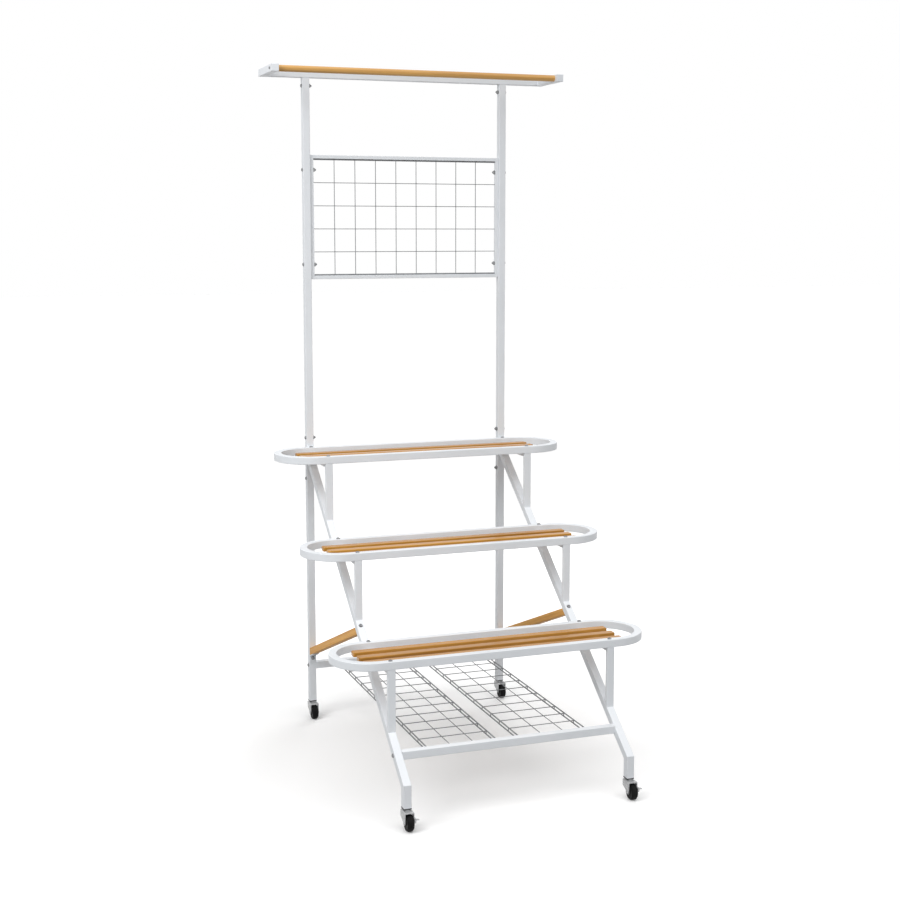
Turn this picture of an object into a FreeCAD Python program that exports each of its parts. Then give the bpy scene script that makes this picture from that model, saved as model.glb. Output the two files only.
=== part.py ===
import FreeCAD, Part
import os
import re
import Sketcher
from FreeCAD import Placement, Rotation, Vector

# A tiered plant stand on four casters, in millimetres with +Z up.
# Every piece is drawn about the plane of the uprights (y = 0, -y towards the front) and placed from there,
# so that the finished stand has its origin on the floor under the middle of its outline.

SIZES = {
    # Square frame tube
    "tube": 20,
    "tube_wall": 1.2,
    "tube_round": 1.6,
    "upright_top": 1816,
    # Joint between the lower and the upper upright
    "joint_drop": 10,
    "sleeve_wall": 1.5,
    "slip": 0.2,
    "sleeve_bolt_rise": 35,
    "sleeve_bolt_drop": 81.5,
    "sleeve_margin": 18,
    # Top frame and hanging bar
    "top_length": 838,
    "arm_reach": 148,
    "stub_length": 40,
    "stub_bolt_drop": 21,
    "bar_diameter": 17.5,
    "bar_setback": 20,
    # Grid panel
    "panel_drop": 208,
    "panel_height": 343,
    "panel_tube": 10,
    "panel_wall": 1,
    "panel_bolt_inset": 41,
    "border_wire": 4,
    "mesh_wire": 2,
    # Shelves
    "shelf_top": 793,
    "ring_length": 834,
    "ring_gap": 72,
    "frame_inset": 126,
    "bracket_tube": 10,
    "slat_overhang": 30.5,
    "slat_margin": 21.25,
    "slat_gap": 23.5,
    "slat_thickness": 11,
    "slat_corner": 4,
    "slat_round": 2,
    # Side frames and braces
    "foot_reach": 872,
    "foot_margin": 109,
    "knee_margin": 17,
    "end_plate": 4,
    "brace_height": 20,
    "brace_width": 18,
    "brace_rise": 32.5,
    "brace_margin": 13,
    "brace_round": 2,
    "strap_thickness": 2.5,
    "strap_clear": 0.5,
    "strap_length": 34,
    # Crossbars and wire shelf
    "crossbar_top": 165,
    "plug_length": 18,
    "shelf_wire": 3.4,
    "inner_wire": 2.2,
    "cross_wire": 2.2,
    "wire_margin": 71,
    "wire_seat": 5,
    "wire_drop": 6,
    "edge_drop": 9.5,
    "cross_start": 75,
    "cross_end": 37,
    # Casters
    "socket_flange": 2.5,
    "socket_depth": 34,
    "stem_diameter": 10,
    "stem_length": 28,
    "stem_collar": 18,
    "collar_height": 2,
    "pivot_diameter": 8,
    "rivet_diameter": 13,
    "rivet_height": 1.4,
    "crown_thickness": 3,
    "crown_round": 3,
    "fork_play": 1.7,
    "fork_plate": 2,
    "fork_back": 9,
    "fork_shoulder": 16,
    "boss_radius": 5.5,
    "caster_trail": 19,
    "wheel_diameter": 40,
    "wheel_headroom": 1.7,
    "wheel_width": 17,
    "wheel_round": 3,
    "hub_diameter": 11,
    "axle_diameter": 6,
    "axle_head": 8,
    "axle_head_height": 1.2,
    "pin_clearance": 0.05,
    "run_gap": 0.3,
    # Brake levers, on the right-hand leg of each front caster
    "brake_rise": 10,
    "brake_barrel": 6,
    "brake_seat": 6,
    "brake_width": 7,
    "brake_play": 0.4,
    "brake_pin": 3,
    "pin_head": 5,
    "pin_head_height": 1.2,
    "pad_start": 4.5,
    "pad_end": 7.5,
    "pad_gap": 0.5,
    "tab_reach": 9.4,
    "tab_drop": 1,
    "tab_thickness": 2,
    # Fasteners
    "bolt_diameter": 6,
    "bolt_clearance": 0.4,
    "thread_clearance": 0.1,
    "head_diameter": 11,
    "head_height": 3,
    "socket_size": 4.6,
    "nut_grip": 6,
    "nut_width": 11.5,
    "nut_hex": 3.5,
    "nut_height": 8,
    "nut_spare": 0.5,
    "insert_diameter": 9,
    "insert_depth": 7.2,
    "ring_bolt_grip": 7,
    "brace_insert_depth": 8,
    "screw_diameter": 4,
    "screw_head": 8,
    "screw_head_height": 2.4,
    "screw_bite": 7,
    "brace_screw_bite": 12,
    "bar_screw_bite": 24,
}

MESH_COLUMNS = 9
MESH_ROWS = 5
SHELF_WIRES = 4
CROSS_WIRES = 12
SHELF_NAMES = ("upper", "middle", "lower")
SLAT_NAMES = ("front", "centre", "rear")
SIDES = {"left": -1, "right": 1}

# Sizes that follow from the ones above.
LINKED = {
    # Casters, from the floor up
    "foot_clearance": "wheel_diameter + wheel_headroom + rivet_height + 2 * run_gap + crown_thickness"
                      " + collar_height + socket_flange",
    "fork_gap": "wheel_width + 2 * fork_play",
    "fork_front": "caster_trail + boss_radius",
    # Shelves share the depth between the uprights and the front feet.
    "ring_depth": f"(foot_reach - tube / 2 - foot_margin) / {len(SHELF_NAMES)}"
                  f" - ring_gap * {len(SHELF_NAMES) - 1} / {len(SHELF_NAMES)}",
    "shelf_run": "ring_depth + ring_gap",
    "slat_length": "ring_length - ring_depth + 2 * slat_overhang",
    "slat_width": f"(ring_depth - 2 * tube - 2 * slat_margin + slat_gap) / {len(SLAT_NAMES)} - slat_gap",
    "slat_pitch": "slat_width + slat_gap",
    # The stringers' upper face leaves the upright at the top shelf's underside,
    # and their middle line meets the foot's middle line at the knee.
    "knee_height": "foot_clearance + socket_depth + knee_margin",
    "slope_drop": "shelf_top - tube - knee_height",
    "slope_reach": "foot_reach - tube / 2",
    "slope": "(slope_drop * slope_reach - tube / 2 * sqrt(slope_drop^2 + slope_reach^2 - tube^2 / 4))"
             " / (slope_reach^2 - tube^2 / 4)",
    "stretch": "sqrt(1 + slope^2)",
    "shelf_rise": "slope * shelf_run",
    # Uprights and panel
    "upright_spacing": "ring_length - 2 * frame_inset",
    "joint_height": "shelf_top - joint_drop",
    "panel_top": "upright_top - panel_drop",
    # The braces run from the upright's front face to the stringer's middle line,
    # in front of the middle shelf's post.
    "brace_low": "crossbar_top + brace_rise",
    "brace_reach": "tube / 2 + shelf_run + ring_depth + brace_margin",
    "brace_top": "shelf_top - tube - slope * (brace_reach - tube / 2) - tube / 2 * stretch",
    "brace_slope": "(brace_top - brace_low) / (brace_reach - tube / 2)",
    "brace_stretch": "sqrt(1 + brace_slope^2)",
    "strap_drop": "(brace_height / 2 + strap_thickness) * brace_stretch + head_diameter / 2 + strap_clear",
    # Wire shelf between the crossbars
    "front_bar": "(shelf_top - crossbar_top - tube / 2 - tube / 2 * stretch) / slope + tube / 2",
    "wire_pitch": f"((upright_spacing - tube) / 2 - wire_margin) / {SHELF_WIRES - 0.5}",
    "cross_pitch": f"(front_bar - tube - cross_start - cross_end) / {CROSS_WIRES - 1}",
    # Bolts reach through the tube into a nut.
    "short_bolt": "tube + nut_grip",
    "long_bolt": "short_bolt + panel_tube",
    "nut_bore": "nut_grip + nut_spare",
}

# Full press of a brake lever, in degrees.
BRAKE_PRESS = 15
# How far a cutting tool runs past the faces it cuts.
SPARE = 1

AXES = {"X": Vector(1, 0, 0), "Y": Vector(0, 1, 0), "Z": Vector(0, 0, 1)}
# Turns that lay a cylinder, which is drawn along Z, along another axis.
ALONG = {"X": Rotation(AXES["Y"], 90), "Y": Rotation(AXES["X"], -90), "Z": Rotation()}
# The plane of a side profile: sketch x along Y, sketch y along Z, normal along X.
SIDE_PLANE = Rotation(Vector(1, 1, 1), 120)
# The plane of a front profile: sketch x along X, sketch y along Z.
FRONT_PLANE = Rotation(AXES["X"], 90)

doc = FreeCAD.newDocument("plant_stand")
nodes = []


# Expressions and placing


def bound(text):
    """A formula over size names, as an expression over the sheets' cells."""
    def cell(word):
        name = word[0]
        if name in SIZES:
            return f"Sizes.{name}"
        return f"Linked.{name}" if name in LINKED else name
    return re.sub(r"[a-z_]+", cell, str(text))


def make_sheet(name, rows):
    """A sheet with one named cell per row."""
    made = doc.addObject("Spreadsheet::Sheet", name)
    for row, (alias, content) in enumerate(rows.items(), 1):
        made.set(f"A{row}", alias)
        made.set(f"B{row}", str(content))
        made.setAlias(f"B{row}", alias)
    return made


sheet = make_sheet("Sizes", SIZES)
make_sheet("Linked", {alias: f"={bound(formula)}" for alias, formula in LINKED.items()})
doc.recompute()


def number(text):
    return float(sheet.evalExpression(bound(text)))


def bind(piece, **formulas):
    for name, formula in formulas.items():
        piece.setExpression(name, bound(formula))


def move(piece, x="0", y="0", z="0", turn=None):
    if turn is not None:
        piece.Placement = Placement(Vector(), turn)
    for name, formula in zip("xyz", (x, y, z)):
        piece.setExpression(f"Placement.Base.{name}", bound(formula))
    return piece


def tilt(piece, angle, y, z):
    """Turn a piece about X by a formula, in the side plane."""
    move(piece, "0", y, z, Rotation(AXES["X"], number(angle)))
    piece.setExpression("Placement.Rotation.Angle", bound(angle))
    return piece


def node(label, piece, x="0", y="0", z="0"):
    """Name a finished piece and carry it from the uprights' plane to the stand's own origin."""
    piece.Label = label
    move(piece, x, f"{UPRIGHT_Y} + {y}", z)
    nodes.append(piece)
    return piece


# Building blocks


def box(name, size, corner):
    piece = doc.addObject("Part::Box", name)
    bind(piece, Length=size[0], Width=size[1], Height=size[2])
    return move(piece, *corner)


def block(name, size, centre):
    """A box about its centre."""
    corner = [f"{middle} - ({length}) / 2" for middle, length in zip(centre, size)]
    return box(name, size, corner)


def rod(name, diameter, length, start, axis="Z"):
    piece = doc.addObject("Part::Cylinder", name)
    bind(piece, Radius=f"({diameter}) / 2", Height=length)
    return move(piece, *start, turn=ALONG[axis])


def cone(name, low_diameter, high_diameter, height, z):
    piece = doc.addObject("Part::Cone", name)
    bind(piece, Radius1=f"({low_diameter}) / 2", Radius2=f"({high_diameter}) / 2", Height=height)
    return move(piece, z=z)


def hexagon(name, width, height, z):
    """A hexagonal prism, width across its corners."""
    piece = doc.addObject("Part::Prism", name)
    piece.Polygon = 6
    bind(piece, Circumradius=f"({width}) / 2", Height=height)
    return move(piece, z=z)


def fuse(name, pieces):
    piece = doc.addObject("Part::MultiFuse", name)
    piece.Shapes = pieces
    piece.Refine = True
    return piece


def cut(name, base, tools):
    piece = doc.addObject("Part::Cut", name)
    piece.Base = base
    piece.Tool = tools[0] if len(tools) == 1 else fuse(f"{name}_tools", tools)
    return piece


def group(name, pieces):
    piece = doc.addObject("Part::Compound", name)
    piece.Links = pieces
    return piece


def profile(name, corners, turn):
    """A closed outline whose corners are bound to the sheet."""
    sketch = doc.addObject("Sketcher::SketchObject", name)
    points = [Vector(number(a), number(b), 0) for a, b in corners]
    count = len(points)
    for index, point in enumerate(points):
        sketch.addGeometry(Part.LineSegment(point, points[(index + 1) % count]), False)
    for index in range(count):
        sketch.addConstraint(Sketcher.Constraint("Coincident", index, 2, (index + 1) % count, 1))
    for index, (point, corner) in enumerate(zip(points, corners)):
        for kind, start, formula in (("DistanceX", point.x, corner[0]), ("DistanceY", point.y, corner[1])):
            place = sketch.addConstraint(Sketcher.Constraint(kind, -1, 1, index, 1, start))
            sketch.setExpression(f"Constraints[{place}]", bound(formula))
    sketch.Placement = Placement(Vector(), turn)
    return sketch


def extruded(name, sketch, direction, length):
    piece = doc.addObject("Part::Extrusion", name)
    piece.Base = sketch
    piece.DirMode = "Custom"
    piece.Dir = direction
    piece.Solid = True
    bind(piece, LengthFwd=length)
    return piece


def plate(name, corners, width, start=None):
    """A side profile given a width along X, about x = 0 unless a start is named."""
    sketch = profile(f"{name}_outline", corners, SIDE_PLANE)
    bind(sketch, **{"Placement.Base.x": start or f"-({width}) / 2"})
    return extruded(name, sketch, AXES["X"], width)


def front_plate(name, corners, depth):
    """A front profile given a depth from y = 0 towards the front."""
    return extruded(name, profile(f"{name}_outline", corners, FRONT_PLANE), -AXES["Y"], depth)


def rounded(name, base, radius, chosen):
    """Round the chosen edges of a piece."""
    doc.recompute()
    size = number(radius)
    piece = doc.addObject("Part::Fillet", name)
    piece.Base = base
    piece.Edges = [(index, size, size) for index, edge in enumerate(base.Shape.Edges, 1) if chosen(edge)]
    return piece


def runs_along(axis):
    """Choose the straight edges that run along an axis."""
    def chosen(edge):
        ends = edge.Vertexes
        step = ends[-1].Point - ends[0].Point
        return step.Length > 1e-6 and abs(abs(step.dot(AXES[axis])) - step.Length) < 1e-6
    return chosen


def flat_to(axis):
    """Choose the edges that lie in a plane square to an axis."""
    def chosen(edge):
        limits = edge.BoundBox
        spread = {"X": limits.XLength, "Y": limits.YLength, "Z": limits.ZLength}[axis]
        return spread < 1e-6
    return chosen


def square_tube(name, axis, low, high, centre):
    """Frame tube along an axis, open at both ends, about the named centre of its section."""
    order = {"X": 0, "Y": 1, "Z": 2}[axis]

    def solid(suffix, width, first, last):
        size = [width] * 3
        size[order] = f"{last} - ({first})"
        corner = [f"{middle} - ({width}) / 2" for middle in centre]
        corner[order] = first
        return box(f"{name}_{suffix}", size, corner)

    outer = rounded(f"{name}_round", solid("outer", "tube", low, high), "tube_round", runs_along(axis))
    bore = solid("bore", TUBE_BORE, f"{low} - {SPARE}", f"{high} + {SPARE}")
    return cut(f"{name}_tube", outer, [bore])


def hole(name, centre, axis, diameter, length):
    """A cutting rod about a centre."""
    start = list(centre)
    order = "XYZ".index(axis)
    start[order] = f"{centre[order]} - ({length}) / 2"
    return rod(name, diameter, length, start, axis)


# Formulas shared by several pieces

TUBE_BORE = "(tube - 2 * tube_wall)"
SLEEVE_WIDTH = f"({TUBE_BORE} - 2 * slip)"
BOLT_HOLE = "(bolt_diameter + bolt_clearance)"
THREAD_HOLE = "(bolt_diameter + thread_clearance)"
SCREW_HOLE = "(screw_diameter + bolt_clearance)"
PILOT_HOLE = "(screw_diameter + thread_clearance)"
THROUGH = f"(tube + 2 * {SPARE})"
CLEAR_WIDTH = "(upright_spacing - tube)"

# The sloped stringers: their upper faces meet each shelf's underside at the back of its ring.
SLOPE_ANGLE = "atan(slope)"
STRINGER_JOINT = "(shelf_top - tube - tube / 2 * stretch)"

# Casters and the outline that sets the stand's origin
AXLE_Z = "(wheel_diameter / 2)"
CROWN_TOP = "(foot_clearance - socket_flange - collar_height - run_gap)"
BRAKE_X = "(fork_gap / 2 + fork_plate)"
BRAKE_Y = "(-fork_front - brake_play)"
BRAKE_Z = f"({AXLE_Z} + brake_rise)"
FRONT_OUTLINE = f"(foot_reach + caster_trail + {AXLE_Z})"
BACK_OUTLINE = "(tube / 2 + nut_height)"
UPRIGHT_Y = f"(({FRONT_OUTLINE} - {BACK_OUTLINE}) / 2)"

CROSSBAR_Z = "(crossbar_top - tube / 2)"
STUB_BOLT_Z = "(upright_top - stub_bolt_drop)"
UPPER_SLEEVE_BOLT_Z = "(joint_height + sleeve_bolt_rise)"
LOWER_SLEEVE_BOLT_Z = "(joint_height - sleeve_bolt_drop)"
PANEL_BOLT_Z = ("(panel_top - panel_bolt_inset)", "(panel_top - panel_height + panel_bolt_inset)")
BAR_Y = "(bar_setback - arm_reach)"
BAR_Z = "(upright_top + tube / 2)"
STRAP_BOLT_Z = "(brace_low - strap_drop)"


def side_x(side):
    return f"({SIDES[side]} * upright_spacing / 2)"


def shelf_bottom(shelf):
    return f"(shelf_top - tube - {shelf} * shelf_rise)"


def ring_back(shelf):
    return f"(-tube / 2 - {shelf} * shelf_run)"


def ring_middle(shelf):
    return f"({ring_back(shelf)} - ring_depth / 2)"


def ring_front(shelf):
    return f"({ring_back(shelf)} - ring_depth)"


def stringer_z(y, drop="0"):
    """Height of the stringer's upper face, or of a line the named distance inside it."""
    return f"(shelf_top - tube + slope * ({y} + tube / 2) - ({drop}) * stretch)"


def stringer_y(z, drop="0"):
    """Where the stringer's upper face, or a line inside it, is at a height."""
    return f"(({z} - (shelf_top - tube) + ({drop}) * stretch) / slope - tube / 2)"


FRONT_BAR_Y = "(-front_bar)"
BRACE_ANGLE = "atan(brace_slope)"


def brace_z(y, rise="0"):
    """Height of the brace's middle line, or of a line the named distance above it."""
    return f"(brace_low - brace_slope * ({y} + tube / 2) + ({rise}) * brace_stretch)"


def brace_end_y(rise="0"):
    """Where a line of the brace meets the stringer's lower face."""
    base = f"(brace_low - brace_slope * tube / 2 + ({rise}) * brace_stretch)"
    lower = "(shelf_top - tube + slope * tube / 2 - tube * stretch)"
    return f"(({base} - {lower}) / (slope + brace_slope))"


BRACE_END_Y = brace_end_y()
BRACE_END_Z = stringer_z(BRACE_END_Y, "tube")
# The brace bolt enters the stringer's upper face straight above the middle of the brace's end.
SLOPE_SINE = "(slope / stretch)"
SLOPE_COSINE = "(1 / stretch)"
BRACE_BOLT_Y = f"({BRACE_END_Y} - tube * {SLOPE_SINE})"
BRACE_BOLT_Z = f"({BRACE_END_Z} + tube * {SLOPE_COSINE})"
# The brace screw enters from below, square to the brace.
BRACE_SINE = "(brace_slope / brace_stretch)"
BRACE_COSINE = "(1 / brace_stretch)"
STRAP_SCREW_Y = "(-tube / 2 - strap_length * 0.65)"
STRAP_SCREW_Z = brace_z(STRAP_SCREW_Y, "-brace_height / 2 - strap_thickness")


# Uprights, sleeves and top frame


def cross_holes(name, heights, diameter=BOLT_HOLE):
    """Bolt holes along X through an upright or what is inside it."""
    return [hole(f"{name}_hole", ("0", "0", height), "X", diameter, THROUGH) for height in heights]


def depth_holes(name, heights):
    """Bolt holes along Y through an upright or what is inside it."""
    return [hole(f"{name}_hole", ("0", "0", height), "Y", BOLT_HOLE, THROUGH) for height in heights]


def lower_upright(side):
    name = f"upright_lower_{side}"
    tube = square_tube(name, "Z", "foot_clearance", "joint_height", ("0", "0", "0"))
    holes = cross_holes(name, (LOWER_SLEEVE_BOLT_Z, CROSSBAR_Z))
    holes += depth_holes(name, (STRINGER_JOINT, STRAP_BOLT_Z))
    node(name, cut(name, tube, holes), x=side_x(side))


def upper_upright(side):
    name = f"upright_upper_{side}"
    tube = square_tube(name, "Z", "joint_height", "upright_top", ("0", "0", "0"))
    holes = cross_holes(name, (UPPER_SLEEVE_BOLT_Z, STUB_BOLT_Z, *PANEL_BOLT_Z))
    node(name, cut(name, tube, holes), x=side_x(side))


def joint_sleeve(side):
    name = f"joint_sleeve_{side}"
    low = f"({LOWER_SLEEVE_BOLT_Z} - sleeve_margin)"
    length = "(sleeve_bolt_rise + sleeve_bolt_drop + 2 * sleeve_margin)"
    outer = box(f"{name}_outer", (SLEEVE_WIDTH, SLEEVE_WIDTH, length),
                (f"-{SLEEVE_WIDTH} / 2", f"-{SLEEVE_WIDTH} / 2", low))
    inside = f"({SLEEVE_WIDTH} - 2 * sleeve_wall)"
    bore = box(f"{name}_bore", (inside, inside, f"{length} + 2 * {SPARE}"),
               (f"-{inside} / 2", f"-{inside} / 2", f"{low} - {SPARE}"))
    holes = cross_holes(name, (LOWER_SLEEVE_BOLT_Z, UPPER_SLEEVE_BOLT_Z))
    holes += depth_holes(name, (STRINGER_JOINT,))
    node(name, cut(name, outer, [bore, *holes]), x=side_x(side))


def top_frame():
    name = "top_frame"

    def loop(suffix, inset):
        """The rear tube and two arms, drawn in from their faces by an inset."""
        width = f"(tube - 2 * ({inset}))"
        rear_size = (f"top_length - 2 * ({inset})", width, width)
        rear = block(f"{name}_rear_{suffix}", rear_size, ("0", "0", BAR_Z))
        length = f"(arm_reach + tube / 2 - 2 * ({inset}))"
        middle = "((tube / 2 - arm_reach) / 2)"
        arms = [block(f"{name}_arm_{suffix}", (width, length, width),
                      (f"{sign} * (top_length - tube) / 2", middle, BAR_Z)) for sign in SIDES.values()]
        return fuse(f"{name}_{suffix}", [rear, *arms])

    outer = rounded(f"{name}_round", loop("outer", "0"), "tube_round", flat_to("Z"))
    hollow = cut(f"{name}_hollow", outer, [loop("bore", "tube_wall")])
    stubs = []
    tools = []
    for side, sign in SIDES.items():
        middle = "(upright_top - stub_length / 2 + tube_wall / 4)"
        height = "(stub_length + tube_wall / 2)"
        stub_size = (SLEEVE_WIDTH, SLEEVE_WIDTH, height)
        stubs.append(block(f"{name}_stub", stub_size, (side_x(side), "0", middle)))
        inside = f"({SLEEVE_WIDTH} - 2 * sleeve_wall)"
        tools.append(block(f"{name}_stub_bore", (inside, inside, f"{height} + tube_wall"),
                           (side_x(side), "0", f"{middle} - tube_wall / 2")))
        tools.append(hole(f"{name}_bolt_hole", (side_x(side), "0", STUB_BOLT_Z), "X", BOLT_HOLE, THROUGH))
        tools.append(hole(f"{name}_screw_hole", (f"{sign} * (top_length - tube) / 2", BAR_Y, BAR_Z), "X",
                          SCREW_HOLE, THROUGH))
    node(name, cut(name, fuse(f"{name}_weld", [hollow, *stubs]), tools))


def hanging_bar():
    name = "hanging_bar"
    length = "(top_length - 2 * tube)"
    bar = hole(f"{name}_round", ("0", BAR_Y, BAR_Z), "X", "bar_diameter", length)
    depth = f"(bar_screw_bite + {SPARE})"
    pilots = [rod(f"{name}_pilot", PILOT_HOLE, f"{depth} + {SPARE}", (start, BAR_Y, BAR_Z), "X")
              for start in (f"-{length} / 2 - {SPARE}", f"{length} / 2 - {depth}")]
    node(name, cut(name, bar, pilots))


# Grid panel


def grid_frame():
    name = "grid_panel_frame"
    middle = "(panel_top - panel_height / 2)"

    def band(suffix, inset):
        """A rectangular loop of the panel's tube, drawn in from its faces by an inset."""
        deep = f"(panel_tube - 2 * ({inset}))"
        size = (f"{CLEAR_WIDTH} - 2 * ({inset})", deep, f"panel_height - 2 * ({inset})")
        outer = block(f"{name}_outer_{suffix}", size, ("0", "0", middle))
        inside = (f"{CLEAR_WIDTH} - 2 * panel_tube + 2 * ({inset})", "2 * panel_tube",
                  f"panel_height - 2 * panel_tube + 2 * ({inset})")
        opening = block(f"{name}_inner_{suffix}", inside, ("0", "0", middle))
        return cut(f"{name}_{suffix}", outer, [opening])

    outer = rounded(f"{name}_round", band("skin", "0"), "panel_wall", flat_to("Y"))
    half = f"({CLEAR_WIDTH} - panel_tube) / 2"
    holes = [hole(f"{name}_hole", (f"{sign} * {half}", "0", height), "X", BOLT_HOLE, "2 * panel_tube")
             for sign in SIDES.values() for height in PANEL_BOLT_Z]
    node(name, cut(name, outer, [band("bore", "panel_wall"), *holes]))


def grid_mesh():
    name = "grid_panel_mesh"
    width = f"({CLEAR_WIDTH} - 2 * panel_tube)"
    height = "(panel_height - 2 * panel_tube - border_wire)"
    middle = "(panel_top - panel_height / 2)"
    layer = "(mesh_wire * 0.45)"
    wires = []
    for sign in SIDES.values():
        place = f"{middle} + {sign} * {height} / 2"
        wires.append(hole(f"{name}_border", ("0", "0", place), "X", "border_wire", width))
    for column in range(1, MESH_COLUMNS):
        place = f"{width} * ({column} / {MESH_COLUMNS} - 0.5)"
        wires.append(hole(f"{name}_upright", (place, f"-{layer}", middle), "Z", "mesh_wire", height))
    for row in range(1, MESH_ROWS):
        place = f"{middle} + {height} * ({row} / {MESH_ROWS} - 0.5)"
        wires.append(hole(f"{name}_level", ("0", layer, place), "X", "mesh_wire", width))
    node(name, fuse(name, wires))


# Side frames


def stringer_outline(inset, joint_y, foot_z):
    """Sloped tube and vertical foot as one mitred outline."""
    front = f"(-foot_reach - tube / 2 + ({inset}))"
    back = f"(-foot_reach + tube / 2 - ({inset}))"
    high = f"({inset})"
    low = f"(tube - ({inset}))"
    return [(joint_y, stringer_z(joint_y, high)), (front, stringer_z(front, high)), (front, foot_z),
            (back, foot_z), (back, stringer_z(back, low)), (joint_y, stringer_z(joint_y, low))]


def bracket_outline(shelf, inset):
    """Post and arm that stand on the stringer and carry one shelf."""
    front = f"({ring_front(shelf)} + ({inset}))"
    back = f"({ring_front(shelf)} + bracket_tube - ({inset}))"
    top = f"({shelf_bottom(shelf)} - ({inset}))"
    under = f"({shelf_bottom(shelf)} - bracket_tube + ({inset}))"
    rest = f"-({inset})"
    return [(front, top), (stringer_y(top, rest), top), (stringer_y(under, rest), under), (back, under),
            (back, stringer_z(back, rest)), (front, stringer_z(front, rest))]


def side_frame(side):
    name = f"side_frame_{side}"
    stringer = plate(f"{name}_stringer", stringer_outline("0", "(-tube / 2)", "foot_clearance"), "tube")
    skins = [rounded(f"{name}_stringer_round", stringer, "tube_round", flat_to("X"))]
    cores = [plate(f"{name}_bore", stringer_outline("tube_wall", "(-tube / 2 - end_plate)",
                                                    f"(foot_clearance - {SPARE})"), TUBE_BORE)]
    tools = []
    for shelf in range(len(SHELF_NAMES)):
        bracket = plate(f"{name}_bracket", bracket_outline(shelf, "0"), "tube")
        skins.append(rounded(f"{name}_bracket_round", bracket, "tube_round", flat_to("X")))
        cores.append(plate(f"{name}_bracket_bore", bracket_outline(shelf, "tube_wall"), TUBE_BORE))
        for place in (f"{ring_front(shelf)} + tube / 2", f"{ring_back(shelf)} - tube / 2"):
            tools.append(rod(f"{name}_insert_hole", "insert_diameter + thread_clearance",
                             f"insert_depth + thread_clearance + {SPARE}",
                             ("0", place, f"{shelf_bottom(shelf)} - insert_depth - thread_clearance")))
        for offset in (-1, 0, 1):
            tools.append(hole(f"{name}_screw_hole",
                              ("0", f"{ring_middle(shelf)} + {offset} * slat_pitch",
                               f"{shelf_bottom(shelf)} - bracket_tube / 2"), "Z", SCREW_HOLE,
                              f"bracket_tube + 2 * {SPARE}"))
    joint = ("0", "-tube / 2", STRINGER_JOINT)
    tools.append(hole(f"{name}_joint_hole", joint, "Y", THREAD_HOLE, "4 * end_plate"))
    tools.append(hole(f"{name}_bar_hole", ("0", FRONT_BAR_Y, CROSSBAR_Z), "X", BOLT_HOLE, THROUGH))
    brace_hole = rod(f"{name}_brace_hole", BOLT_HOLE, THROUGH, ("0", "0", "0"))
    tilt(brace_hole, f"180 deg + {SLOPE_ANGLE}", f"{BRACE_BOLT_Y} - {SPARE} * {SLOPE_SINE}",
         f"{BRACE_BOLT_Z} + {SPARE} * {SLOPE_COSINE}")
    tools.append(brace_hole)
    weld = fuse(f"{name}_weld", skins)
    node(name, cut(name, cut(f"{name}_hollow", weld, cores), tools), x=side_x(side))


# Shelves


def stadium(name, length, depth, height, z):
    """A slab with half-round ends, about the origin."""
    straight = f"({length} - {depth})"
    slab = block(f"{name}_slab", (straight, depth, height), ("0", "0", f"{z} + ({height}) / 2"))
    ends = [rod(f"{name}_end", depth, height, (f"{sign} * {straight} / 2", "0", z))
            for sign in SIDES.values()]
    return fuse(name, [slab, *ends])


def shelf_ring(shelf):
    name = f"shelf_ring_{SHELF_NAMES[shelf]}"

    def band(suffix, inset):
        """The loop of tube, drawn in from its faces by an inset."""
        height = f"(tube - 2 * ({inset}))"
        outer = stadium(f"{name}_outer_{suffix}", f"(ring_length - 2 * ({inset}))",
                        f"(ring_depth - 2 * ({inset}))", height, inset)
        reach = f"2 * (tube - ({inset}))"
        inner = stadium(f"{name}_inner_{suffix}", f"(ring_length - {reach})", f"(ring_depth - {reach})",
                        f"{height} + 2 * {SPARE}", f"({inset}) - {SPARE}")
        return cut(f"{name}_{suffix}", outer, [inner])

    skin = rounded(f"{name}_round", band("skin", "0"), "tube_round", flat_to("Z"))
    half = "(ring_depth - tube) / 2"
    holes = [hole(f"{name}_hole", (side_x(side), f"{sign} * {half}", "tube / 2"), "Z", BOLT_HOLE, THROUGH)
             for side in SIDES for sign in (-1, 1)]
    ring = cut(name, skin, [band("bore", "tube_wall"), *holes])
    node(name, ring, y=ring_middle(shelf), z=shelf_bottom(shelf))


def slat(shelf, index):
    name = f"slat_{SHELF_NAMES[shelf]}_{SLAT_NAMES[index]}"
    board = box(f"{name}_board", ("slat_length", "slat_width", "slat_thickness"),
                ("-slat_length / 2", "-slat_width / 2", "0"))
    corners = rounded(f"{name}_corners", board, "slat_corner", runs_along("Z"))

    def upper(edge):
        return flat_to("Z")(edge) and edge.BoundBox.ZMax > number("slat_thickness") / 2

    smooth = rounded(f"{name}_round", corners, "slat_round", upper)
    pilots = [rod(f"{name}_pilot", PILOT_HOLE, f"screw_bite + slip + {SPARE}",
                  (side_x(side), "0", f"-{SPARE}")) for side in SIDES]
    piece = cut(name, smooth, pilots)
    node(name, piece, y=f"{ring_middle(shelf)} + {index - 1} * slat_pitch", z=shelf_bottom(shelf))


# Braces and their straps


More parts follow.
